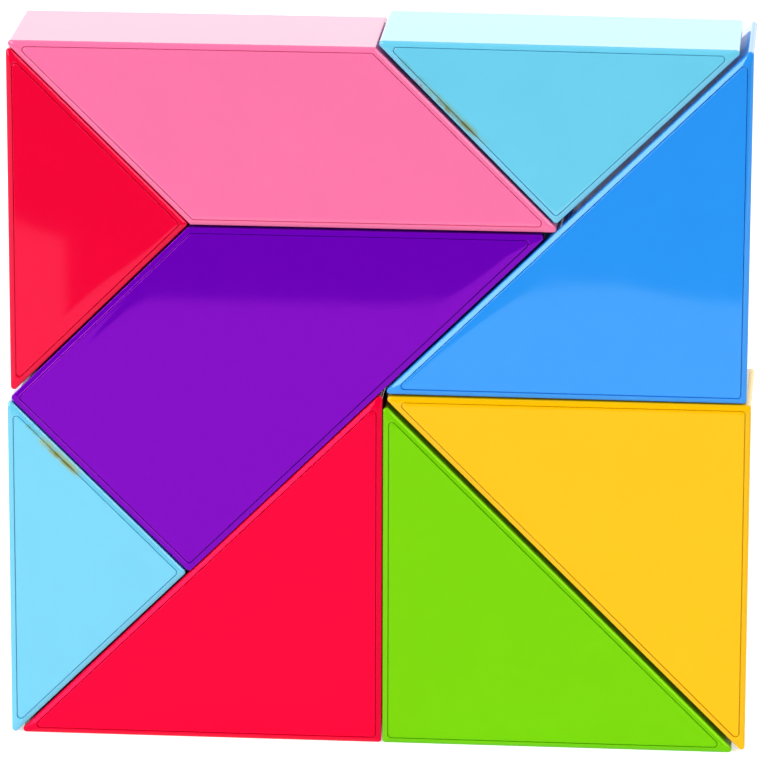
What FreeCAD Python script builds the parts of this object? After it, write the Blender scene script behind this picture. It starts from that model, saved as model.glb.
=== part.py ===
import FreeCAD, Part
import math
import os
from collections import namedtuple

# Block puzzle of the tangram kind: nine hollow moulded blocks that fit together into a square.
#
# All outlines lie on one lattice of square tiles, four tiles wide and four tiles high. Each block is
# a tray with a closed back, side walls and a thin front lip. A cover plate lies inside the lip, on a
# ledge of the side walls, so that a fine seam runs round each front face. Bar magnets stand in slots
# behind the side walls, one at the middle of each tile side or tile diagonal, so that any two blocks
# that meet on the lattice have their magnets face to face.
#
# The square stands on its lower edge with the covers to the front. X runs to the right, Y from the
# front to the back and Z up. The origin is the middle of the base.

# Lattice and block body, in millimetres
TILE = 25.0
THICKNESS = 18.5
PLAY = 0.05
CORNER_R = 0.45
FRONT_CHAMFER = 0.3
BACK_CHAMFER = 0.35
LIP = 0.75
WALL = 1.6
BACK_WALL = 1.6
INNER_CORNER_R = 0.5

# Cover plate, with short ribs behind it that centre it between the side walls
COVER_T = 1.5
COVER_CORNER_R = 0.45
SEAM_GAP = 0.08
COVER_CHAMFER = 0.12
CENTRING_RIB_T = 1.0
CENTRING_RIB_WIDTH = 3.5
CENTRING_RIB_HEIGHT = 2.0
CENTRING_GAP = 0.1

# Bar magnets, the slots that hold them and the pegs that keep them down
MAGNET_LENGTH = 10.0
MAGNET_WIDTH = 5.0
MAGNET_T = 2.0
MAGNET_PLAY = 0.1
SLOT_RIB_T = 1.0
SLOT_RIM_DROP = 1.0
PEG_WIDTH = 3.6
PEG_T = 1.4
PEG_GAP = 0.1

# What lies where in the square. Corners are in tiles, from the lower left of the lattice.
# DX, DZ and TURN say how far a block lies out of its place, to the right, upwards and in degrees to
# the left. SIZE_ERROR is what a moulding came out larger on each side. A block that stands on the
# floor takes its height from that.
Block = namedtuple("Block", "name corners dx dz turn size_error on_floor")

BLOCKS = (
    Block("red_small_triangle", ((0, 4), (1, 3), (0, 2)), -0.30, -1.50, 0.03, -0.12, False),
    Block("pink_parallelogram", ((0, 4), (2, 4), (3, 3), (1, 3)), -0.25, -1.44, 0.10, 0.14, False),
    Block("cyan_top_triangle", ((2, 4), (4, 4), (3, 3)), -0.61, -0.46, -0.35, -0.04, False),
    Block("blue_large_triangle", ((4, 4), (4, 2), (2, 2)), 0.56, 0.06, -0.12, -0.07, False),
    Block("purple_trapezoid", ((1, 3), (3, 3), (1, 1), (0, 2)), -0.77, -1.47, 0.10, -0.36, False),
    Block("cyan_left_triangle", ((0, 2), (1, 1), (0, 0)), -0.80, -1.05, 0.0, -0.15, False),
    Block("red_large_triangle", ((2, 2), (2, 0), (0, 0)), 0.70, 0.0, 0.0, 0.21, True),
    Block("green_large_triangle", ((2, 2), (4, 0), (2, 0)), 0.65, 0.0, 0.0, -0.27, True),
    Block("yellow_large_triangle", ((2, 2), (4, 2), (4, 0)), 1.00, -0.10, 0.0, 0.09, False),
)


# Outlines in the plane of the faces, as lists of (x, z) points that run clockwise


def unit(start, end):
    """Direction from one point to another, with length one."""
    length = math.hypot(end[0] - start[0], end[1] - start[1])
    return (end[0] - start[0]) / length, (end[1] - start[1]) / length


def inset(points, distance):
    """Outline moved inwards by one distance on every side."""
    moved = []
    count = len(points)
    for index, corner in enumerate(points):
        before = unit(points[index - 1], corner)
        after = unit(corner, points[(index + 1) % count])
        cross = before[0] * after[1] - before[1] * after[0]
        # The corner slides along both sides until it is the same distance from each of them.
        x = corner[0] + distance * (after[0] - before[0]) / -cross
        z = corner[1] + distance * (after[1] - before[1]) / -cross
        moved.append((x, z))
    return moved


def placed_outline(block):
    """Outer outline of a block where it lies in the square."""
    lattice = [(TILE * x, TILE * z) for x, z in block.corners]
    middle_x = sum(x for x, z in lattice) / len(lattice)
    middle_z = sum(z for x, z in lattice) / len(lattice)
    angle = math.radians(block.turn)
    turned = []
    for x, z in inset(lattice, PLAY - block.size_error):
        right = x - middle_x
        up = z - middle_z
        new_x = middle_x + right * math.cos(angle) - up * math.sin(angle) + block.dx
        new_z = middle_z + right * math.sin(angle) + up * math.cos(angle)
        turned.append((new_x, new_z))
    rise = block.dz
    if block.on_floor:
        rise = -min(z for x, z in turned)
    return [(x, z + rise) for x, z in turned]


def rounded_wire(points, radius, y):
    """Closed wire through an outline with every corner rounded, at one depth."""
    edges = []
    count = len(points)
    spans = []
    for index, corner in enumerate(points):
        before = unit(points[index - 1], corner)
        after = unit(corner, points[(index + 1) % count])
        half_turn = 0.5 * math.acos(before[0] * after[0] + before[1] * after[1])
        back_off = radius * math.tan(half_turn)
        start = FreeCAD.Vector(corner[0] - before[0] * back_off, y, corner[1] - before[1] * back_off)
        end = FreeCAD.Vector(corner[0] + after[0] * back_off, y, corner[1] + after[1] * back_off)
        to_centre = unit((0, 0), (after[0] - before[0], after[1] - before[1]))
        reach = radius / math.cos(half_turn) - radius
        apex = FreeCAD.Vector(corner[0] + to_centre[0] * reach, y, corner[1] + to_centre[1] * reach)
        spans.append((start, apex, end))
    for index, (start, apex, end) in enumerate(spans):
        edges.append(Part.Arc(start, apex, end).toShape())
        edges.append(Part.makeLine(end, spans[(index + 1) % count][0]))
    return Part.Wire(edges)


def prism(points, radius, front, back):
    """Solid with a rounded outline, from one depth under the front face to another."""
    wire = rounded_wire(points, radius, front - THICKNESS / 2)
    return Part.Face(wire).extrude(FreeCAD.Vector(0, back - front, 0))


def rim_edges(solid, depth):
    """Edges that lie at one depth under the front face."""
    y = depth - THICKNESS / 2
    return [edge for edge in solid.Edges if all(abs(vertex.Y - y) < 1e-6 for vertex in edge.Vertexes)]


# Places along the side walls, each a point on the outer face with the directions along and inwards


def magnet_shares(steps):
    """Where magnets stand on a side, as shares of its length: in the middle of each tile."""
    return [(step + 0.5) / steps for step in range(steps)]


def rib_shares(steps):
    """Where centring ribs stand on a side: between its magnets, or on both sides of a single one."""
    if steps == 1:
        return [0.25, 0.75]
    return [step / steps for step in range(1, steps)]


def wall_places(block, outline, shares_of):
    """Places on all sides of a block, at the shares that a rule gives for each side's tile count."""
    places = []
    count = len(outline)
    for index, start in enumerate(outline):
        end = outline[(index + 1) % count]
        first = block.corners[index]
        second = block.corners[(index + 1) % count]
        steps = max(abs(second[0] - first[0]), abs(second[1] - first[1]))
        along = unit(start, end)
        inwards = (along[1], -along[0])
        for share in shares_of(steps):
            point = (start[0] + share * (end[0] - start[0]), start[1] + share * (end[1] - start[1]))
            places.append((point, along, inwards))
    return places


def wall_box(place, width, near, far, front, back):
    """Box that stands on a side wall.

    Width runs along the wall, near and far are distances from its outer face, and front and back are
    depths under the front face.
    """
    point, along, inwards = place
    corners = []
    for side, distance in ((-0.5, near), (0.5, near), (0.5, far), (-0.5, far)):
        x = point[0] + along[0] * width * side + inwards[0] * distance
        z = point[1] + along[1] * width * side + inwards[1] * distance
        corners.append(FreeCAD.Vector(x, front - THICKNESS / 2, z))
    corners.append(corners[0])
    face = Part.Face(Part.makePolygon(corners))
    return face.extrude(FreeCAD.Vector(0, back - front, 0))


MAGNET_FRONT = (THICKNESS - MAGNET_LENGTH) / 2
MAGNET_BACK = MAGNET_FRONT + MAGNET_LENGTH
MAGNET_NEAR = WALL + MAGNET_PLAY
MAGNET_FAR = MAGNET_NEAR + MAGNET_T
SLOT_FAR = MAGNET_FAR + MAGNET_PLAY
SLOT_WIDTH = MAGNET_WIDTH + 2 * MAGNET_PLAY
FLOOR_DEPTH = THICKNESS - BACK_WALL


# Pieces


def make_shell(outline, magnets_at):
    """Tray with a closed back, a ledge and a lip for the cover, and a slot for each magnet."""
    shell = prism(outline, CORNER_R, 0, THICKNESS)
    shell = shell.makeChamfer(BACK_CHAMFER, rim_edges(shell, THICKNESS))
    shell = shell.makeChamfer(FRONT_CHAMFER, rim_edges(shell, 0))
    recess = prism(inset(outline, LIP), COVER_CORNER_R + SEAM_GAP, 0, COVER_T)
    cavity = prism(inset(outline, WALL), INNER_CORNER_R, COVER_T, FLOOR_DEPTH)
    shell = shell.cut(recess).cut(cavity)
    ribs = []
    slots = []
    rib_front = MAGNET_FRONT + SLOT_RIM_DROP
    rib_back = FLOOR_DEPTH + BACK_WALL / 2
    rib_width = SLOT_WIDTH + 2 * SLOT_RIB_T
    for place in magnets_at:
        ribs.append(wall_box(place, rib_width, WALL / 2, SLOT_FAR + SLOT_RIB_T, rib_front, rib_back))
        slots.append(wall_box(place, SLOT_WIDTH, WALL, SLOT_FAR, COVER_T, MAGNET_BACK))
    return shell.fuse(ribs).cut(slots).removeSplitter()


def make_cover(outline, magnets_at, ribs_at):
    """Front plate with ribs that centre it in the tray and a peg over each magnet."""
    cover = prism(inset(outline, LIP + SEAM_GAP), COVER_CORNER_R, 0, COVER_T)
    cover = cover.makeChamfer(COVER_CHAMFER, rim_edges(cover, 0))
    behind = []
    rib_near = WALL + CENTRING_GAP
    rib_back = COVER_T + CENTRING_RIB_HEIGHT
    for place in ribs_at:
        rib = wall_box(place, CENTRING_RIB_WIDTH, rib_near, rib_near + CENTRING_RIB_T, COVER_T, rib_back)
        behind.append(rib)
    peg_near = MAGNET_NEAR + (MAGNET_T - PEG_T) / 2
    for place in magnets_at:
        peg = wall_box(place, PEG_WIDTH, peg_near, peg_near + PEG_T, COVER_T, MAGNET_FRONT - PEG_GAP)
        behind.append(peg)
    return cover.fuse(behind).removeSplitter()


def make_magnets(magnets_at):
    """Bar magnets of one block, each a solid of its own."""
    magnets = []
    for place in magnets_at:
        magnet = wall_box(place, MAGNET_WIDTH, MAGNET_NEAR, MAGNET_FAR, MAGNET_FRONT, MAGNET_BACK)
        magnets.append(magnet)
    return Part.makeCompound(magnets)


def build():
    """All pieces by name, with the middle of the base at the origin."""
    outlines = {}
    for block in BLOCKS:
        outlines[block] = placed_outline(block)
    sides = [x for outline in outlines.values() for x, z in outline]
    to_origin = FreeCAD.Vector(-(min(sides) + max(sides)) / 2, 0, 0)
    pieces = {}
    for block, outline in outlines.items():
        magnets_at = wall_places(block, outline, magnet_shares)
        ribs_at = wall_places(block, outline, rib_shares)
        pieces[block.name + "_shell"] = make_shell(outline, magnets_at)
        pieces[block.name + "_cover"] = make_cover(outline, magnets_at, ribs_at)
        pieces[block.name + "_magnets"] = make_magnets(magnets_at)
    for shape in pieces.values():
        shape.translate(to_origin)
    return pieces


os.makedirs("parts", exist_ok=True)
for piece_name, piece_shape in build().items():
    piece_shape.exportStep("parts/" + piece_name + ".step")
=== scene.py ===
"""Looks of a block puzzle of the tangram kind: nine glossy magnetic blocks that stand as a square.

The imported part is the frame. The magnets stay and get their finish here. Each tray and each cover
plate is moulded again on the outline of its solid, with the rim, the seam and the face softened as
the mould and the glue leave them, and stands for that solid.
"""

import logging
import math
from dataclasses import dataclass, field
from enum import Enum
from functools import cache
from typing import Any, Callable

import bmesh
import bpy
from mathutils import Matrix, Vector
from mathutils.geometry import convex_hull_2d, intersect_line_line

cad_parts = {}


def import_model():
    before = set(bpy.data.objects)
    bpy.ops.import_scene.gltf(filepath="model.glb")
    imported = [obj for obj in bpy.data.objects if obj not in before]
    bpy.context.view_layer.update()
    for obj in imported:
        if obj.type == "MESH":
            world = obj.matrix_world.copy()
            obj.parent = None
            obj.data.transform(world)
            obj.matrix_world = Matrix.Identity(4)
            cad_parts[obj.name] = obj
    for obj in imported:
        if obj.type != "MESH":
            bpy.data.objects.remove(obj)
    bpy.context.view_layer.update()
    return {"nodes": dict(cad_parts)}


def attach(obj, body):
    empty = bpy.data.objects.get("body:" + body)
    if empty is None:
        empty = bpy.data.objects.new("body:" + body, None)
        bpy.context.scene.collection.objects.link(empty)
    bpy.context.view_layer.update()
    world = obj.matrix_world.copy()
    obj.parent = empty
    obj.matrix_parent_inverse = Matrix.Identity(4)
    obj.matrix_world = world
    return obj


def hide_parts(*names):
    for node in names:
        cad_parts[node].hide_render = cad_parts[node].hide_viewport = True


Tree = bpy.types.NodeTree
Socket = bpy.types.NodeSocket
Point = tuple[float, float]

MM = 0.001
# Scale of a noise texture whose grain is one millimetre
PATTERN_MM = 1000.0
BODY = "root"
# Edges of a moulded piece that turn more than this stay sharp
SHARP_DEGREES = 40.0
# Depths between which a mark on the front ends, so that it stays off the side walls
MARK_END_MM = (-8.9, -8.5)
WHITE = (1.0, 1.0, 1.0, 1.0)

log = logging.getLogger("tangram_puzzle")


def linear(hex_colour: str) -> tuple[float, float, float, float]:
    """Turns an sRGB hex colour to linear light.

    Args:
        hex_colour: Six hex digits with a leading hash.

    Returns:
        Red, green and blue in linear light, and an alpha of one.
    """
    channels = []
    for place in (1, 3, 5):
        value = int(hex_colour[place:place + 2], 16) / 255
        channels.append(value / 12.92 if value <= 0.04045 else ((value + 0.055) / 1.055) ** 2.4)
    return channels[0], channels[1], channels[2], 1.0


def add_node(tree: Tree, kind: str, settings: dict[str, Any] | None = None,
             inputs: dict[str | int, Any] | None = None) -> bpy.types.Node:
    """Adds a node with its settings, values and links.

    Args:
        tree: The tree that gets the node.
        kind: Blender's name for the node type.
        settings: Attributes of the node, by name.
        inputs: Values or output sockets for the node's inputs, by socket name or index.

    Returns:
        The new node.
    """
    node = tree.nodes.new(kind)
    for name, value in (settings or {}).items():
        setattr(node, name, value)
    for name, value in (inputs or {}).items():
        if isinstance(value, Socket):
            tree.links.new(value, node.inputs[name])
        else:
            node.inputs[name].default_value = value
    return node


class Colour(Enum):
    """Pigments of the moulded blocks, as a face reads under white light."""

    RED = "#EF0335"
    PINK = "#F976A8"
    CYAN = "#6BCEEC"
    BLUE = "#2793F2"
    PURPLE = "#6601B4"
    GREEN = "#72CC08"
    YELLOW = "#F7BD02"


@dataclass(frozen=True)
class GlueMark:
    """Dried glue that crept out of a seam, as a stained band along a line on the front.

    Sizes are in millimetres on the face, across (x) and up (z). Old glue is yellow to brown, dull,
    and lies in blotches, thickest at the seam.
    """

    start: Point
    end: Point
    reach: float
    hex_colour: str
    strength: float
    blotch_mm: float = 1.6
    roughness: float = 0.45


@dataclass(frozen=True)
class MouldedAbs:
    """Injection-moulded ABS from a polished mould.

    The pigment goes through, so the colour is even and deep. A polished mould leaves a clear gloss,
    with slow waves where the plate cooled over hollow ground, and handling leaves faint hazy wipes.
    """

    slot: str
    pigment: Colour
    gloss_tint: str = "#FFFFFF"
    gloss_level: float = 0.5
    roughness: float = 0.045
    wave_mm: float = 16.0
    wave_depth_mm: float = 0.004
    mottle_mm: float = 9.0
    mottle: float = 0.012
    haze_mm: float = 5.0
    haze: float = 0.02
    wipe_lean: float = 0.6
    wipe_stretch: float = 0.35
    grit_mm: float = 0.35
    grit_depth_mm: float = 0.0015
    grit_strength: float = 0.25
    ior: float = 1.54
    marks: tuple[GlueMark, ...] = ()

    def build(self) -> bpy.types.Material:
        """Makes the node material.

        Returns:
            The material, ready for a slot.
        """
        material = bpy.data.materials.new("moulded_abs_" + self.slot)
        material.use_nodes = True
        tree = material.node_tree
        tree.nodes.clear()
        place = add_node(tree, "ShaderNodeTexCoord").outputs["Object"]
        colour = self.pigment_nodes(tree, place)
        rough = self.haze_nodes(tree, place)
        for mark in self.marks:
            colour, rough = self.mark_nodes(tree, place, colour, rough, mark)
        shader = add_node(tree, "ShaderNodeBsdfPrincipled", None, {
            "Base Color": colour, "Roughness": rough, "IOR": self.ior,
            "Specular IOR Level": self.gloss_level, "Specular Tint": linear(self.gloss_tint),
            "Normal": self.relief_nodes(tree, place)})
        add_node(tree, "ShaderNodeOutputMaterial", None, {"Surface": shader.outputs["BSDF"]})
        return material

    def pigment_nodes(self, tree: Tree, place: Socket) -> Socket:
        """Colour with the faint clouding of pigment in the melt.

        Args:
            tree: The material's tree.
            place: Object coordinates.

        Returns:
            The colour.
        """
        cloud = add_node(tree, "ShaderNodeTexNoise", None, {
            "Vector": place, "Scale": PATTERN_MM / self.mottle_mm, "Detail": 4.0, "Roughness": 0.6})
        amount = add_node(tree, "ShaderNodeMapRange", None, {
            "Value": cloud.outputs["Fac"], "From Min": 0.35, "From Max": 0.65,
            "To Min": 1.0 - self.mottle, "To Max": 1.0 + self.mottle})
        shade = add_node(tree, "ShaderNodeHueSaturation", None, {
            "Color": linear(self.pigment.value), "Value": amount.outputs["Result"]})
        return shade.outputs["Color"]

    def haze_nodes(self, tree: Tree, place: Socket) -> Socket:
        """Roughness with the hazy wipes that handling leaves.

        Args:
            tree: The material's tree.
            place: Object coordinates.

        Returns:
            The roughness.
        """
        wipes = add_node(tree, "ShaderNodeMapping", None, {
            "Vector": place, "Rotation": (0.0, self.wipe_lean, 0.0),
            "Scale": (1.0, 1.0, self.wipe_stretch)})
        patches = add_node(tree, "ShaderNodeTexNoise", None, {
            "Vector": wipes.outputs["Vector"], "Scale": PATTERN_MM / self.haze_mm, "Detail": 5.0})
        spread = add_node(tree, "ShaderNodeMapRange", None, {
            "Value": patches.outputs["Fac"], "From Min": 0.45, "From Max": 0.75,
            "To Min": self.roughness, "To Max": self.roughness + self.haze})
        return spread.outputs["Result"]

    def relief_nodes(self, tree: Tree, place: Socket) -> Socket:
        """Bump of the slow cooling waves and of dust-fine grit.

        Args:
            tree: The material's tree.
            place: Object coordinates.

        Returns:
            The normal.
        """
        waves = add_node(tree, "ShaderNodeTexNoise", None, {
            "Vector": place, "Scale": PATTERN_MM / self.wave_mm, "Detail": 1.0, "Roughness": 0.3})
        slow = add_node(tree, "ShaderNodeBump", None, {
            "Height": waves.outputs["Fac"], "Strength": 1.0, "Distance": self.wave_depth_mm * MM})
        grit = add_node(tree, "ShaderNodeTexNoise", None, {
            "Vector": place, "Scale": PATTERN_MM / self.grit_mm, "Detail": 2.0})
        fine = add_node(tree, "ShaderNodeBump", None, {
            "Height": grit.outputs["Fac"], "Strength": self.grit_strength,
            "Distance": self.grit_depth_mm * MM, "Normal": slow.outputs["Normal"]})
        return fine.outputs["Normal"]

    def mark_nodes(self, tree: Tree, place: Socket, colour: Socket, rough: Socket,
                   mark: GlueMark) -> tuple[Socket, Socket]:
        """Lays a glue mark over the colour and dulls the gloss under it.

        Args:
            tree: The material's tree.
            place: Object coordinates.
            colour: Colour so far.
            rough: Roughness so far.
            mark: The stained band.

        Returns:
            The new colour and roughness.
        """
        line = Vector((mark.end[0] - mark.start[0], 0.0, mark.end[1] - mark.start[1])) * MM
        own = add_node(tree, "ShaderNodeMapping", {"vector_type": "TEXTURE"}, {
            "Vector": place, "Location": (mark.start[0] * MM, 0.0, mark.start[1] * MM),
            "Rotation": (0.0, math.atan2(-line.z, line.x), 0.0)})
        axes = add_node(tree, "ShaderNodeSeparateXYZ", None, {
            "Vector": own.outputs["Vector"]}).outputs
        off_line = add_node(tree, "ShaderNodeMath", {"operation": "ABSOLUTE"}, {0: axes["Z"]})
        near = add_node(tree, "ShaderNodeMapRange", {"interpolation_type": "SMOOTHSTEP"}, {
            "Value": off_line.outputs["Value"], "From Min": 0.0, "From Max": mark.reach * MM,
            "To Min": 1.0, "To Max": 0.0})
        begun = add_node(tree, "ShaderNodeMapRange", {"interpolation_type": "SMOOTHSTEP"}, {
            "Value": axes["X"], "From Min": 0.0, "From Max": 0.25 * line.length})
        ended = add_node(tree, "ShaderNodeMapRange", {"interpolation_type": "SMOOTHSTEP"}, {
            "Value": axes["X"], "From Min": 0.7 * line.length, "From Max": line.length,
            "To Min": 1.0, "To Max": 0.0})
        blotch = add_node(tree, "ShaderNodeTexNoise", None, {
            "Vector": place, "Scale": PATTERN_MM / mark.blotch_mm, "Detail": 6.0, "Roughness": 0.7})
        torn = add_node(tree, "ShaderNodeMapRange", None, {
            "Value": blotch.outputs["Fac"], "From Min": 0.34, "From Max": 0.54,
            "To Max": mark.strength})
        on_front = add_node(tree, "ShaderNodeMapRange", None, {
            "Value": axes["Y"], "From Min": MARK_END_MM[0] * MM, "From Max": MARK_END_MM[1] * MM,
            "To Min": 1.0, "To Max": 0.0})
        share = torn.outputs["Result"]
        for part in (near, begun, ended, on_front):
            product = add_node(tree, "ShaderNodeMath", {"operation": "MULTIPLY"}, {
                0: share, 1: part.outputs["Result"]})
            share = product.outputs["Value"]
        # A mix node has its numbers at inputs 2 and 3, its colours at 6 and 7 and the mixed colour
        # at output 2
        stained = add_node(tree, "ShaderNodeMix", {"data_type": "RGBA"}, {
            "Factor": share, 6: colour, 7: linear(mark.hex_colour)})
        dulled = add_node(tree, "ShaderNodeMix", {"data_type": "FLOAT"}, {
            "Factor": share, 2: rough, 3: mark.roughness})
        return stained.outputs[2], dulled.outputs[0]


@dataclass(frozen=True)
class NickelPlate:
    """Bright nickel plate on pressed magnets, tumbled, so that it is bright with a soft satin."""

    colour: str = "#C9C5BC"
    brightest: float = 0.16
    dullest: float = 0.34
    tumble_mm: float = 0.8

    def build(self) -> bpy.types.Material:
        """Makes the node material.

        Returns:
            The material, ready for a slot.
        """
        material = bpy.data.materials.new("nickel_plate")
        material.use_nodes = True
        tree = material.node_tree
        tree.nodes.clear()
        place = add_node(tree, "ShaderNodeTexCoord").outputs["Object"]
        tumble = add_node(tree, "ShaderNodeTexNoise", None, {
            "Vector": place, "Scale": PATTERN_MM / self.tumble_mm, "Detail": 4.0})
        rough = add_node(tree, "ShaderNodeMapRange", None, {
            "Value": tumble.outputs["Fac"], "To Min": self.brightest, "To Max": self.dullest})
        shader = add_node(tree, "ShaderNodeBsdfPrincipled", None, {
            "Base Color": linear(self.colour), "Metallic": 1.0,
            "Roughness": rough.outputs["Result"]})
        add_node(tree, "ShaderNodeOutputMaterial", None, {"Surface": shader.outputs["BSDF"]})
        return material


def unit(start: Point, end: Point) -> Point:
    """Direction from one point of the front plane to another, with length one.

    Args:
        start: First point.
        end: Second point.

    Returns:
        The direction.
    """
    length = math.hypot(end[0] - start[0], end[1] - start[1])
    return (end[0] - start[0]) / length, (end[1] - start[1]) / length


@dataclass(frozen=True)
class Outline:
    """Corners of a block in the plane of its front, as (x, z) in millimetres, clockwise."""

    corners: tuple[Point, ...]
    front: float

    @classmethod
    def of_tray(cls, tray: bpy.types.Object, shortest_side: float = 6.0) -> "Outline":
        """Reads the outline off a tray's solid, with the corners back where the sides meet.

        Args:
            tray: The tray's node in the frame.
            shortest_side: Length that tells a side from a step of a corner's rounding.

        Returns:
            The outline.
        """
        points = [(vertex.co.x / MM, vertex.co.z / MM) for vertex in tray.data.vertices]
        ring = [points[index] for index in convex_hull_2d([Vector(point) for point in points])]
        area = sum(a[0] * b[1] - b[0] * a[1] for a, b in zip(ring, ring[1:] + ring[:1]))
        if area > 0.0:
            ring.reverse()
        sides = [(start, end) for start, end in zip(ring, ring[1:] + ring[:1])
                 if math.dist(start, end) > shortest_side]
        corners = []
        for index, (start, end) in enumerate(sides):
            before = sides[index - 1]
            meeting = intersect_line_line(Vector((*before[0], 0.0)), Vector((*before[1], 0.0)),
                                          Vector((*start, 0.0)), Vector((*end, 0.0)))[0]
            corners.append((meeting.x, meeting.y))
        return cls(tuple(corners), min(vertex.co.y for vertex in tray.data.vertices) / MM)

    def sides(self) -> list[tuple[Point, Point]]:
        """Goes round the outline.

        Returns:
            Start and end of each side.
        """
        return list(zip(self.corners, self.corners[1:] + self.corners[:1]))

    def inwards(self, index: int) -> Vector:
        """How a corner moves when all sides move inwards by one.

        Args:
            index: Place of the corner in the outline.

        Returns:
            The move, across and up.
        """
        corner = self.corners[index]
        before = unit(self.corners[index - 1], corner)
        after = unit(corner, self.corners[(index + 1) % len(self.corners)])
        turn = before[1] * after[0] - before[0] * after[1]
        return Vector(((after[0] - before[0]) / turn, 0.0, (after[1] - before[1]) / turn))

    def wall_places(self, shares_of: Callable[[int], list[float]],
                    tile: float = 25.0) -> list[tuple[Vector, Vector]]:
        """Places on the side walls, each a point on the outer face and the direction along it.

        Args:
            shares_of: Gives the places on a side, as shares of its length, for its count of tiles.
            tile: Side of a lattice tile.

        Returns:
            Point and direction of each place, in millimetres.
        """
        places = []
        for start, end in self.sides():
            steps = round(max(abs(end[0] - start[0]), abs(end[1] - start[1])) / tile)
            along = unit(start, end)
            for share in shares_of(steps):
                x, z = (a + share * (b - a) for a, b in zip(start, end))
                places.append((Vector((x, self.front, z)), Vector((along[0], 0.0, along[1]))))
        return places


@dataclass(frozen=True)
class Moulding:
    """A hollow or a plate that one section makes as it runs round an outline.

    A point of the section is how far in from the outer face, how deep under the front and how
    rounded the corners are there, in millimetres. The section runs from the middle of the back over
    the outer face to the middle of the front, and the first and last rings are closed flat.
    """

    name: str
    section: tuple[tuple[float, float, float], ...]
    corner_steps: int = 7

    def section_object(self) -> bpy.types.Object:
        """The section as loose points, for the tree to read.

        Returns:
            The points, linked to no scene.
        """
        mesh = bpy.data.meshes.new(self.name + "_section")
        mesh.from_pydata([tuple(size * MM for size in point) for point in self.section], [], [])
        return bpy.data.objects.new(mesh.name, mesh)

    def outline_object(self, outline: Outline) -> bpy.types.Object:
        """The outline as a loop of edges, with the way inwards at each corner.

        Args:
            outline: The outline.

        Returns:
            The loop, linked to no scene.
        """
        count = len(outline.corners)
        mesh = bpy.data.meshes.new(self.name)
        mesh.from_pydata([(x * MM, outline.front * MM, z * MM) for x, z in outline.corners],
                         [(index, (index + 1) % count) for index in range(count)], [])
        inwards = mesh.attributes.new("inwards", "FLOAT_VECTOR", "POINT")
        for index in range(count):
            inwards.data[index].vector = outline.inwards(index)
        return bpy.data.objects.new(self.name, mesh)

    def build(self, outline: Outline, material: bpy.types.Material) -> bpy.types.Object:
        """Runs the section round the outline.

        Args:
            outline: Where it runs.
            material: Its finish.

        Returns:
            The closed piece as a plain mesh.
        """
        section = self.section_object()
        piece = bake(self.outline_object(outline), moulding_tree(), {
            "Section": section, "Corner Steps": self.corner_steps, "Finish": material})
        bpy.data.objects.remove(section)
        return piece


def bake(source: bpy.types.Object, tree: Tree,
         values: dict[str, Any]) -> bpy.types.Object:
    """Runs a node tree on an object and keeps the result as a plain mesh.

    Args:
        source: The object that the tree reads.
        tree: The tree.
        values: Value of each named input.

    Returns:
        The object, with the new mesh and no modifier.
    """
    bpy.context.scene.collection.objects.link(source)
    modifier = source.modifiers.new(tree.name, "NODES")
    modifier.node_group = tree
    sockets = {item.name: item.identifier for item in tree.interface.items_tree
               if item.in_out == "INPUT"}
    for name, value in values.items():
        modifier[sockets[name]] = value
    evaluated = source.evaluated_get(bpy.context.evaluated_depsgraph_get())
    mesh = bpy.data.meshes.new_from_object(evaluated)
    mesh.name = source.name
    source.modifiers.clear()
    source.data = mesh
    return source


def new_tree(name: str, inputs: tuple[tuple[str, str], ...]) -> Tree:
    """Makes an empty tree for a modifier, with its named inputs.

    Args:
        name: Name of the tree.
        inputs: Name and socket type of each input after the geometry.

    Returns:
        The tree.
    """
    tree = bpy.data.node_groups.new(name, "GeometryNodeTree")
    tree.is_modifier = True
    tree.interface.new_socket("Geometry", in_out="INPUT", socket_type="NodeSocketGeometry")
    for label, kind in inputs:
        tree.interface.new_socket(label, in_out="INPUT", socket_type=kind)
    tree.interface.new_socket("Geometry", in_out="OUTPUT", socket_type="NodeSocketGeometry")
    return tree


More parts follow.
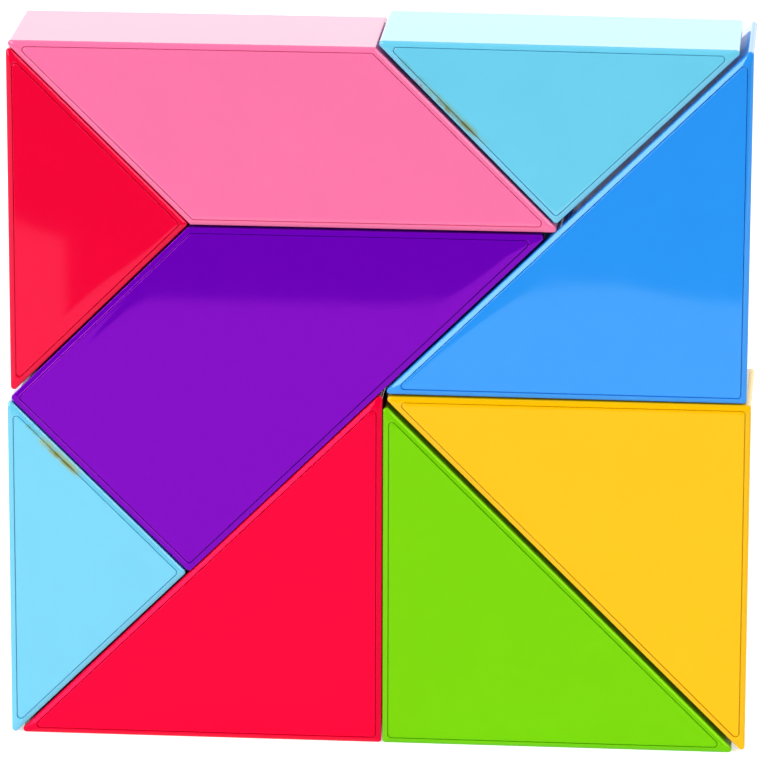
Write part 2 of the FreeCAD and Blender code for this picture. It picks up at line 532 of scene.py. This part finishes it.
@cache
def moulding_tree() -> Tree:
    """Tree that copies an outline once for each section point and joins the copies with a skin.

    Returns:
        The tree, which is made once.
    """
    tree = new_tree("moulding", (("Section", "NodeSocketObject"), ("Corner Steps", "NodeSocketInt"),
                                 ("Finish", "NodeSocketMaterial")))
    given = add_node(tree, "NodeGroupInput").outputs
    section = add_node(tree, "GeometryNodeObjectInfo", None, {
        "Object": given["Section"]}).outputs["Geometry"]
    rings = add_node(tree, "GeometryNodeAttributeDomainSize", {"component": "MESH"}, {
        "Geometry": section}).outputs["Point Count"]
    loop = add_node(tree, "GeometryNodeMeshToCurve", None, {"Mesh": given["Geometry"]})
    copies = add_node(tree, "GeometryNodeDuplicateElements", {"domain": "SPLINE"}, {
        "Geometry": loop.outputs["Curve"], "Amount": rings})
    here = add_node(tree, "GeometryNodeInputPosition").outputs["Position"]
    point = add_node(tree, "GeometryNodeSampleIndex", {"data_type": "FLOAT_VECTOR"}, {
        "Geometry": section, "Value": here, "Index": copies.outputs["Duplicate Index"]})
    sizes = add_node(tree, "ShaderNodeSeparateXYZ", None, {
        "Vector": point.outputs["Value"]}).outputs
    inwards = add_node(tree, "GeometryNodeInputNamedAttribute", {"data_type": "FLOAT_VECTOR"}, {
        "Name": "inwards"})
    moved_in = add_node(tree, "ShaderNodeVectorMath", {"operation": "SCALE"}, {
        0: inwards.outputs["Attribute"], "Scale": sizes["X"]})
    moved_back = add_node(tree, "ShaderNodeCombineXYZ", None, {"Y": sizes["Y"]})
    move = add_node(tree, "ShaderNodeVectorMath", {"operation": "ADD"}, {
        0: moved_in.outputs["Vector"], 1: moved_back.outputs["Vector"]})
    placed = add_node(tree, "GeometryNodeSetPosition", None, {
        "Geometry": copies.outputs["Geometry"], "Offset": move.outputs["Vector"]})
    rounded = add_node(tree, "GeometryNodeFilletCurve", {"mode": "POLY"}, {
        "Curve": placed.outputs["Geometry"], "Count": given["Corner Steps"], "Radius": sizes["Z"],
        "Limit Radius": True}).outputs["Curve"]
    points = add_node(tree, "GeometryNodeAttributeDomainSize", {"component": "CURVE"}, {
        "Geometry": rounded}).outputs["Point Count"]
    per_ring = add_node(tree, "FunctionNodeIntegerMath", {"operation": "DIVIDE"}, {
        0: points, 1: rings}).outputs["Value"]
    row = add_node(tree, "FunctionNodeIntegerMath", {"operation": "ADD"}, {
        0: per_ring, 1: 1}).outputs["Value"]
    skin = add_node(tree, "GeometryNodeMeshGrid", None, {"Vertices X": rings, "Vertices Y": row})
    index = add_node(tree, "GeometryNodeInputIndex").outputs["Index"]
    ring = add_node(tree, "FunctionNodeIntegerMath", {"operation": "DIVIDE_FLOOR"}, {
        0: index, 1: row})
    step = add_node(tree, "FunctionNodeIntegerMath", {"operation": "MODULO"}, {0: index, 1: row})
    wrapped = add_node(tree, "FunctionNodeIntegerMath", {"operation": "MODULO"}, {
        0: step.outputs["Value"], 1: per_ring})
    on_skin = add_node(tree, "FunctionNodeIntegerMath", {"operation": "MULTIPLY_ADD"}, {
        0: ring.outputs["Value"], 1: per_ring, 2: wrapped.outputs["Value"]})
    last = add_node(tree, "FunctionNodeIntegerMath", {"operation": "SUBTRACT"}, {0: rings, 1: 1})
    on_end = add_node(tree, "FunctionNodeIntegerMath", {"operation": "MULTIPLY_ADD"}, {
        0: last.outputs["Value"], 1: per_ring, 2: index})
    end = add_node(tree, "GeometryNodeMeshCircle", {"fill_type": "NGON"}, {"Vertices": per_ring})
    faces = []
    for form, source_index in ((skin, on_skin.outputs["Value"]), (end, index),
                               (end, on_end.outputs["Value"])):
        found = add_node(tree, "GeometryNodeSampleIndex", {"data_type": "FLOAT_VECTOR"}, {
            "Geometry": rounded, "Value": here, "Index": source_index})
        placed_form = add_node(tree, "GeometryNodeSetPosition", None, {
            "Geometry": form.outputs["Mesh"], "Position": found.outputs["Value"]})
        faces.append(placed_form.outputs["Geometry"])
    faces[2] = add_node(tree, "GeometryNodeFlipFaces", None, {"Mesh": faces[2]}).outputs["Mesh"]
    whole = add_node(tree, "GeometryNodeJoinGeometry")
    for part in faces:
        tree.links.new(part, whole.inputs["Geometry"])
    merged = add_node(tree, "GeometryNodeMergeByDistance", None, {
        "Geometry": whole.outputs["Geometry"], "Distance": 0.001 * MM})
    real = add_node(tree, "GeometryNodeRealizeInstances", None, {
        "Geometry": merged.outputs["Geometry"]})
    dressed = add_node(tree, "GeometryNodeSetMaterial", None, {
        "Geometry": real.outputs["Geometry"], "Material": given["Finish"]})
    add_node(tree, "NodeGroupOutput", None, {"Geometry": dressed.outputs["Geometry"]})
    return tree


@cache
def wall_box_tree() -> Tree:
    """Tree that sets one box on each point, as wide, deep and thick as the point says.

    Returns:
        The tree, which is made once.
    """
    tree = new_tree("wall_boxes", (("Finish", "NodeSocketMaterial"),))
    given = add_node(tree, "NodeGroupInput").outputs
    box = add_node(tree, "GeometryNodeMeshCube", None, {"Size": (1.0, 1.0, 1.0)}).outputs["Mesh"]
    read = {}
    for name in ("along", "size"):
        read[name] = add_node(tree, "GeometryNodeInputNamedAttribute", {
            "data_type": "FLOAT_VECTOR"}, {"Name": name}).outputs["Attribute"]
    turn = add_node(tree, "FunctionNodeAxesToRotation", {
        "primary_axis": "X", "secondary_axis": "Y"}, {
        "Primary Axis": read["along"], "Secondary Axis": (0.0, 1.0, 0.0)})
    boxes = add_node(tree, "GeometryNodeInstanceOnPoints", None, {
        "Points": given["Geometry"], "Instance": box, "Rotation": turn.outputs["Rotation"],
        "Scale": read["size"]})
    real = add_node(tree, "GeometryNodeRealizeInstances", None, {
        "Geometry": boxes.outputs["Instances"]})
    dressed = add_node(tree, "GeometryNodeSetMaterial", None, {
        "Geometry": real.outputs["Geometry"], "Material": given["Finish"]})
    add_node(tree, "NodeGroupOutput", None, {"Geometry": dressed.outputs["Geometry"]})
    return tree


@dataclass(frozen=True)
class WallBox:
    """A box that stands on a side wall inside a block, in millimetres.

    Width runs along the wall from its middle, near and far are distances from the outer face, and
    front and back are depths under the front face.
    """

    left: float
    right: float
    near: float
    far: float
    front: float
    back: float


def wall_boxes(name: str, places: list[tuple[Vector, Vector]], boxes: tuple[WallBox, ...],
               material: bpy.types.Material) -> bpy.types.Object:
    """Sets the same boxes at every place on the walls.

    Args:
        name: Name of the piece.
        places: Points on the outer face and the directions along it.
        boxes: The boxes of one place.
        material: Their finish.

    Returns:
        All boxes as one plain mesh.
    """
    middles, alongs, sizes = [], [], []
    backwards = Vector((0.0, 1.0, 0.0))
    for point, along in places:
        inwards = Vector((along.z, 0.0, -along.x))
        for box in boxes:
            middles.append((point + along * (box.left + box.right) / 2
                            + inwards * (box.near + box.far) / 2
                            + backwards * (box.front + box.back) / 2) * MM)
            alongs.append(along)
            sizes.append(Vector((box.right - box.left, box.back - box.front,
                                 box.far - box.near)) * MM)
    mesh = bpy.data.meshes.new(name)
    mesh.from_pydata(middles, [], [])
    for label, values in (("along", alongs), ("size", sizes)):
        layer = mesh.attributes.new(label, "FLOAT_VECTOR", "POINT")
        for index, value in enumerate(values):
            layer.data[index].vector = value
    return bake(bpy.data.objects.new(name, mesh), wall_box_tree(), {"Finish": material})


def tile_middles(steps: int) -> list[float]:
    """Middles of the tiles along a side.

    Args:
        steps: Count of tiles along the side.

    Returns:
        The places, as shares of the side's length.
    """
    return [(step + 0.5) / steps for step in range(steps)]


def tile_joints(steps: int) -> list[float]:
    """Joints between the tiles along a side, or the two quarters of a side of one tile.

    Args:
        steps: Count of tiles along the side.

    Returns:
        The places, as shares of the side's length.
    """
    return [0.25, 0.75] if steps == 1 else [step / steps for step in range(1, steps)]


def finish_mesh(piece: bpy.types.Object, extras: tuple[bpy.types.Object, ...]) -> None:
    """Joins the inner ribs to a moulded piece and shades its roundings smooth and its flats flat.

    Args:
        piece: The moulded piece, which keeps the result.
        extras: The ribs, which are used up.
    """
    work = bmesh.new()
    work.from_mesh(piece.data)
    bmesh.ops.recalc_face_normals(work, faces=work.faces)
    for extra in extras:
        work.from_mesh(extra.data)
        bpy.data.objects.remove(extra)
    work.to_mesh(piece.data)
    work.free()
    piece.data.shade_smooth()
    piece.data.set_sharp_from_angle(angle=math.radians(SHARP_DEGREES))
    steady = piece.modifiers.new("flat_faces_stay_flat", "WEIGHTED_NORMAL")
    steady.keep_sharp = True


@dataclass(frozen=True)
class Tray:
    """Tray of a block: closed back, side walls, a ledge for the cover and a rounded lip round it.

    Sizes are in millimetres, as the solids have them. The lip's rounding is the mould's: a tight
    outer edge, then a band whose tilt, in degrees, eases towards the seam. The glue that holds the
    cover fills the seam up to glue_depth under the front, so the seam reads as a soft line.
    """

    thickness: float = 18.5
    corner: float = 0.45
    back_chamfer: float = 0.35
    back_corner: float = 0.15
    lip: float = 0.75
    lip_edge_round: float = 0.25
    lip_outer_tilt: float = 36.0
    lip_inner_tilt: float = 16.0
    lip_inner_edge: float = 0.05
    glue_depth: float = 0.28
    glue_width: float = 0.06
    round_steps: int = 5
    seam_corner: float = 0.53
    cover: float = 1.5
    wall: float = 1.6
    back_wall: float = 1.6
    inner_corner: float = 0.5
    slot_width: float = 5.2
    slot_far: float = 3.8
    slot_front: float = 5.25
    magnet_back: float = 14.25
    rib: float = 1.0

    def section(self) -> tuple[tuple[float, float, float], ...]:
        """Section from the middle of the back, over the lip and down to the middle of the floor.

        Returns:
            Inset, depth and corner radius of each point.
        """
        glue_inset = self.lip + self.glue_width
        glue_corner = self.seam_corner - self.glue_width
        points = [(self.back_chamfer, self.thickness, self.back_corner),
                  (0.0, self.thickness - self.back_chamfer, self.corner)]
        for inset, depth in self.lip_curve():
            share = inset / self.lip
            points.append((inset, depth, self.corner + (self.seam_corner - self.corner) * share))
        points += [(self.lip, self.lip_inner_edge, self.seam_corner),
                   (self.lip, self.glue_depth, self.seam_corner),
                   (glue_inset, self.glue_depth, glue_corner),
                   (glue_inset, self.cover, glue_corner),
                   (self.wall, self.cover, self.inner_corner),
                   (self.wall, self.thickness - self.back_wall, self.inner_corner)]
        return tuple(points)

    def lip_curve(self) -> list[Point]:
        """The lip: a tight outer rounding, then a band that slopes gently.

        Returns:
            Inset and depth of each point.
        """
        outer, inner = math.radians(self.lip_outer_tilt), math.radians(self.lip_inner_tilt)
        edge_width = self.lip_edge_round * (1.0 - math.sin(outer))
        band_width = self.lip - self.lip_inner_edge - edge_width
        band_round = band_width / (math.sin(outer) - math.sin(inner))
        band_depth = band_round * (math.cos(inner) - math.cos(outer))
        curve = []
        for step in range(self.round_steps + 1):
            tilt = 0.5 * math.pi + (outer - 0.5 * math.pi) * step / self.round_steps
            curve.append((self.lip_edge_round * (1.0 - math.sin(tilt)),
                          band_depth + self.lip_edge_round * (math.cos(outer) - math.cos(tilt))))
        for step in range(1, self.round_steps + 1):
            tilt = outer + (inner - outer) * step / self.round_steps
            curve.append((edge_width + band_round * (math.sin(outer) - math.sin(tilt)),
                          band_round * (math.cos(inner) - math.cos(tilt))))
        return curve

    def slot_boxes(self) -> tuple[WallBox, ...]:
        """Two cheeks, a back and a floor, which together hold one bar magnet to the wall.

        Returns:
            The four boxes.
        """
        half = self.slot_width / 2
        near = self.wall / 2
        far = self.slot_far + self.rib
        end = self.thickness - self.back_wall / 2
        return (WallBox(-half - self.rib, -half, near, far, self.slot_front, end),
                WallBox(half, half + self.rib, near, far, self.slot_front, end),
                WallBox(-half, half, self.slot_far, far, self.slot_front, end),
                WallBox(-half, half, near, self.slot_far, self.magnet_back, end))

    def build(self, name: str, outline: Outline, finish: MouldedAbs,
              material: bpy.types.Material) -> bpy.types.Object:
        """Moulds one tray and puts it in the place of its node.

        Args:
            name: Name of the block.
            outline: Outline of the block.
            finish: Its plastic. Not used.
            material: The plastic's material.

        Returns:
            The tray.
        """
        tray = Moulding(name + "_tray", self.section()).build(outline, material)
        slots = wall_boxes(name + "_slots", outline.wall_places(tile_middles), self.slot_boxes(),
                           material)
        finish_mesh(tray, (slots,))
        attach(tray, BODY)
        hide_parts(name + "_shell")
        return tray


@dataclass(frozen=True)
class Cover:
    """Cover plate of a block, whose face sank a little towards its border as it cooled.

    Sizes are in millimetres, as the solids have them, and the slight crown is the mould's. Pegs
    behind the plate keep the magnets down, and short ribs centre the plate between the walls.
    """

    border: float = 0.83
    thickness: float = 1.5
    corner: float = 0.45
    edge_round: float = 0.12
    round_steps: int = 3
    crown_width: float = 2.6
    crown_drop: float = 0.03
    crown_steps: int = 8
    crown_corner: float = 0.6
    peg_width: float = 3.6
    peg_near: float = 2.0
    peg_far: float = 3.4
    peg_end: float = 4.15
    rib_width: float = 3.5
    rib_near: float = 1.7
    rib_far: float = 2.7
    rib_end: float = 3.5

    def section(self) -> tuple[tuple[float, float, float], ...]:
        """Section from the middle of the back, over the border and along the crown.

        Returns:
            Inset, depth and corner radius of each point.
        """
        points = [(self.border, self.thickness, self.corner)]
        for step in range(self.round_steps + 1):
            angle = 0.5 * math.pi * step / self.round_steps
            points.append((self.border + self.edge_round * (1.0 - math.cos(angle)),
                           self.crown_drop + self.edge_round * (1.0 - math.sin(angle)),
                           self.corner))
        for step in range(1, self.crown_steps + 1):
            share = step / self.crown_steps
            points.append((self.border + self.edge_round + self.crown_width * share,
                           self.crown_drop * (1.0 - share) ** 3,
                           self.corner + self.crown_corner * share))
        return tuple(points)

    def build(self, name: str, outline: Outline, finish: MouldedAbs,
              material: bpy.types.Material) -> bpy.types.Object:
        """Moulds one cover and puts it in the place of its node.

        Args:
            name: Name of the block.
            outline: Outline of the block.
            finish: Its plastic. Not used.
            material: The plastic's material.

        Returns:
            The cover.
        """
        cover = Moulding(name + "_cover_plate", self.section()).build(outline, material)
        half_peg = self.peg_width / 2
        half_rib = self.rib_width / 2
        inside = self.thickness / 2
        peg = WallBox(-half_peg, half_peg, self.peg_near, self.peg_far, inside, self.peg_end)
        rib = WallBox(-half_rib, half_rib, self.rib_near, self.rib_far, inside, self.rib_end)
        pegs = wall_boxes(name + "_pegs", outline.wall_places(tile_middles), (peg,), material)
        ribs = wall_boxes(name + "_ribs", outline.wall_places(tile_joints), (rib,), material)
        finish_mesh(cover, (pegs, ribs))
        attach(cover, BODY)
        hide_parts(name + "_cover")
        return cover


@dataclass(frozen=True)
class Block:
    """One block: its tray, its cover plate and the magnets inside."""

    name: str
    finish: MouldedAbs
    tray: Tray = Tray()
    cover: Cover = Cover()

    def dress(self, nodes: dict[str, bpy.types.Object], plastic: bpy.types.Material,
              plate: bpy.types.Material) -> None:
        """Makes the block's mouldings and gives its magnets their finish.

        Args:
            nodes: The frame's nodes by name.
            plastic: Finish of the tray and the cover.
            plate: Finish of the magnets.
        """
        outline = Outline.of_tray(nodes[self.name + "_shell"])
        for moulding in (self.tray, self.cover):
            piece = moulding.build(self.name, outline, self.finish, plastic)
            log.info("%s: %d faces", piece.name, len(piece.data.polygons))
        magnets = nodes[self.name + "_magnets"]
        magnets.data.materials.clear()
        magnets.data.materials.append(plate)
        log.info("%s: finish %s", magnets.name, plate.name)


@dataclass(frozen=True)
class Lamp:
    """A square soft box. Its places and the side of its face are in metres."""

    name: str
    place: tuple[float, float, float]
    target: tuple[float, float, float]
    size: float
    watts: float

    def build(self) -> None:
        """Adds the lamp to the scene."""
        data = bpy.data.lights.new(self.name, "AREA")
        data.size = self.size
        data.energy = self.watts
        lamp = bpy.data.objects.new(self.name, data)
        lamp.location = self.place
        aim = Vector(self.target) - Vector(self.place)
        lamp.rotation_euler = aim.to_track_quat("-Z", "Y").to_euler()
        bpy.context.scene.collection.objects.link(lamp)


@dataclass(frozen=True)
class Studio:
    """Pale floor, soft lamps and a white surround. Sizes are in metres.

    The floor is a card that ends a hand's breadth or two in front of the blocks. The glossy fronts
    mirror the card below and the dim room above, so the line of its front edge, given from left to
    right as (x, y), sets the height of the step of light on each block. It is broken because it
    was placed for the photograph's view, where the real blocks mirror the step at different
    heights. The surround is dim in front and brighter behind, with a window low behind the blocks
    that lights up their upper sides.
    """

    card_front: tuple[Point, ...] = (
        (-3.0, -0.3), (-0.0855, -0.279), (-0.0772, -0.2705), (-0.0698, -0.216),
        (-0.0645, -0.2335), (-0.0153, -0.2335), (0.003, -0.24), (0.0132, -0.249),
        (0.0217, -0.2495), (0.0397, -0.2395), (3.0, -0.2395))
    card_back: tuple[Point, ...] = ((3.0, 3.0), (-3.0, 3.0))
    card_hex: str = "#F1F1F0"
    card_seen: float = 0.62
    room_in_front: float = 0.12
    surround: float = 0.55
    bright_side: tuple[float, float, float] = (-0.46, 0.81, 0.36)
    room_fade: Point = (-0.55, 0.1)
    window: float = 2.05
    window_across: Point = (0.8, 0.92)
    window_up: Point = (0.36, 0.5)
    lamps: tuple[Lamp, ...] = (
        Lamp("overhead", (0.0, -0.1, 1.1), (0.0, 0.0, 0.0), 1.2, 2.0),
        Lamp("key", (-1.26, -1.45, 0.59), (0.0, 0.0, 0.05), 1.0, 24.0),
        Lamp("fill", (1.6, -1.1, 1.2), (0.0, 0.0, 0.05), 1.2, 22.5))

    def build(self) -> None:
        """Makes the floor, the surround and the lamps."""
        self.build_floor()
        self.build_surround()
        for lamp in self.lamps:
            lamp.build()

    def build_floor(self) -> None:
        """Floor of matt white card, which looks white to the camera and in the gloss."""
        mesh = bpy.data.meshes.new("floor")
        corners = [(x, y, 0.0) for x, y in self.card_front + self.card_back]
        mesh.from_pydata(corners, [], [tuple(range(len(corners)))])
        floor = bpy.data.objects.new("floor", mesh)
        bpy.context.scene.collection.objects.link(floor)
        material = bpy.data.materials.new("white_card")
        material.use_nodes = True
        tree = material.node_tree
        tree.nodes.clear()
        card = add_node(tree, "ShaderNodeBsdfDiffuse", None, {"Color": linear(self.card_hex)})
        ray = add_node(tree, "ShaderNodeLightPath").outputs
        seen = add_node(tree, "ShaderNodeMath", {"operation": "MAXIMUM"}, {
            0: ray["Is Camera Ray"], 1: ray["Is Glossy Ray"]})
        white = add_node(tree, "ShaderNodeEmission", None, {"Strength": self.card_seen})
        nothing = add_node(tree, "ShaderNodeEmission", None, {"Strength": 0.0})
        lifted = add_node(tree, "ShaderNodeMixShader", None, {
            0: seen.outputs["Value"], 1: nothing.outputs["Emission"], 2: white.outputs["Emission"]})
        both = add_node(tree, "ShaderNodeAddShader", None, {
            0: card.outputs["BSDF"], 1: lifted.outputs["Shader"]})
        add_node(tree, "ShaderNodeOutputMaterial", None, {"Surface": both.outputs["Shader"]})
        mesh.materials.append(material)

    def build_surround(self) -> None:
        """White to the camera and behind the object, and a dimmer room in front of it."""
        world = bpy.data.worlds.new("surround")
        bpy.context.scene.world = world
        world.use_nodes = True
        tree = world.node_tree
        tree.nodes.clear()
        towards = add_node(tree, "ShaderNodeTexCoord")
        faced = add_node(tree, "ShaderNodeVectorMath", {"operation": "DOT_PRODUCT"}, {
            0: towards.outputs["Generated"], 1: self.bright_side})
        level = add_node(tree, "ShaderNodeMapRange", {"interpolation_type": "SMOOTHSTEP"}, {
            "Value": faced.outputs["Value"], "From Min": self.room_fade[0],
            "From Max": self.room_fade[1], "To Min": self.room_in_front, "To Max": self.surround})
        axes = add_node(tree, "ShaderNodeSeparateXYZ", None, {
            "Vector": towards.outputs["Generated"]})
        behind = add_node(tree, "ShaderNodeMapRange", {"interpolation_type": "SMOOTHSTEP"}, {
            "Value": axes.outputs["Y"], "From Min": self.window_across[0],
            "From Max": self.window_across[1]})
        low = add_node(tree, "ShaderNodeMapRange", {"interpolation_type": "SMOOTHSTEP"}, {
            "Value": axes.outputs["Z"], "From Min": self.window_up[0],
            "From Max": self.window_up[1], "To Min": 1.0, "To Max": 0.0})
        window = add_node(tree, "ShaderNodeMath", {"operation": "MULTIPLY"}, {
            0: behind.outputs["Result"], 1: low.outputs["Result"]})
        total = add_node(tree, "ShaderNodeMath", {"operation": "MULTIPLY_ADD"}, {
            0: window.outputs["Value"], 1: self.window - self.surround, 2: level.outputs["Result"]})
        studio = add_node(tree, "ShaderNodeBackground", None, {
            "Color": WHITE, "Strength": total.outputs["Value"]})
        white = add_node(tree, "ShaderNodeBackground", None, {"Color": WHITE, "Strength": 1.0})
        ray = add_node(tree, "ShaderNodeLightPath")
        seen = add_node(tree, "ShaderNodeMixShader", None, {
            0: ray.outputs["Is Camera Ray"], 1: studio.outputs["Background"],
            2: white.outputs["Background"]})
        add_node(tree, "ShaderNodeOutputWorld", None, {"Surface": seen.outputs["Shader"]})


@dataclass(frozen=True)
class Viewpoint:
    """Camera of the photograph: a long lens from a little above and to the right.

    Its place is in millimetres, its angles are in degrees and its clip distances in metres. Place,
    angles and lens were fitted to the seams and edges of the blocks in the photograph.
    """

    place: tuple[float, float, float] = (67.479, -837.757, 296.448)
    to_the_left: float = 4.5893
    downwards: float = 16.3713
    roll: float = 0.1536
    lens: float = 298.678
    sensor: float = 36.0
    shift: Point = (-0.00065, 0.00065)
    clip: Point = (0.01, 50.0)

    def build(self) -> None:
        """Makes the camera and gives it to the scene."""
        data = bpy.data.cameras.new("camera")
        data.lens = self.lens
        data.sensor_width = self.sensor
        data.shift_x, data.shift_y = self.shift
        data.clip_start, data.clip_end = self.clip
        camera = bpy.data.objects.new("camera", data)
        turn = Matrix.Rotation(math.radians(self.to_the_left), 4, "Z")
        tilt = Matrix.Rotation(math.radians(90.0 - self.downwards), 4, "X")
        lean = Matrix.Rotation(math.radians(self.roll), 4, "Z")
        camera.matrix_world = Matrix.Translation(Vector(self.place) * MM) @ turn @ tilt @ lean
        bpy.context.scene.collection.objects.link(camera)
        bpy.context.scene.camera = camera


@dataclass(frozen=True)
class TangramSquare:
    """The nine blocks with their finishes.

    Each finish names its pigment and the tint of its gloss. Real ABS has an untinted gloss: the
    tints have no physical ground and were chosen so that the lit parts have the photograph's
    colours. The two light-blue blocks carry the glue marks. The purple block's lip lies flatter
    than the others and catches no light from the left.
    """

    magnets: NickelPlate = NickelPlate()
    blocks: tuple[Block, ...] = field(default_factory=lambda: (
        Block("red_small_triangle", MouldedAbs("red_plastic", Colour.RED, "#FF8AB4")),
        Block("pink_parallelogram", MouldedAbs("pink_plastic", Colour.PINK, "#FFC8C4")),
        Block("cyan_top_triangle", MouldedAbs("cyan_plastic", Colour.CYAN, "#FFE8FF", marks=(
            GlueMark((4.9, 94.8), (15.4, 84.9), 0.9, "#7DA06A", 0.85),
            GlueMark((7.4, 92.2), (13.8, 86.2), 0.45, "#6F7430", 0.9),
            GlueMark((2.4, 97.6), (7.0, 93.2), 0.6, "#58A79C", 0.7),
            GlueMark((4.7, 94.5), (6.2, 93.1), 0.42, "#A8583C", 1.0)))),
        Block("blue_large_triangle", MouldedAbs("blue_plastic", Colour.BLUE, "#D3FFFF")),
        Block("purple_trapezoid", MouldedAbs("purple_plastic", Colour.PURPLE, "#FF44FF", 0.72),
              tray=Tray(lip_edge_round=0.1, lip_outer_tilt=2.0)),
        Block("cyan_left_triangle", MouldedAbs("cyan_plastic", Colour.CYAN, "#FFE8FF", marks=(
            GlueMark((-47.2, 43.6), (-40.2, 36.9), 0.95, "#A3B25A", 0.9),
            GlueMark((-45.9, 42.1), (-41.0, 37.5), 0.45, "#76802C", 0.95),
            GlueMark((-48.4, 44.9), (-46.4, 43.0), 0.45, "#6FA070", 0.85)))),
        Block("red_large_triangle", MouldedAbs("red_plastic", Colour.RED, "#FF4080")),
        Block("green_large_triangle", MouldedAbs("green_plastic", Colour.GREEN, "#BCFF40")),
        Block("yellow_large_triangle", MouldedAbs("yellow_plastic", Colour.YELLOW, "#FFF48C")),
    ))

    def build(self, nodes: dict[str, bpy.types.Object]) -> None:
        """Dresses every block, with one material for each distinct finish.

        Args:
            nodes: The frame's nodes by name.
        """
        plate = self.magnets.build()
        made: dict[MouldedAbs, bpy.types.Material] = {}
        for block in self.blocks:
            if block.finish not in made:
                made[block.finish] = block.finish.build()
            block.dress(nodes, made[block.finish], plate)


def main() -> None:
    """Loads the frame, dresses it, and sets the stage and the camera."""
    logging.basicConfig(level=logging.INFO, format="%(name)s: %(message)s")
    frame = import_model()
    TangramSquare().build(frame["nodes"])
    Studio().build()
    Viewpoint().build()
    bpy.context.scene.view_settings.view_transform = "Standard"


if __name__ == "__main__":
    main()
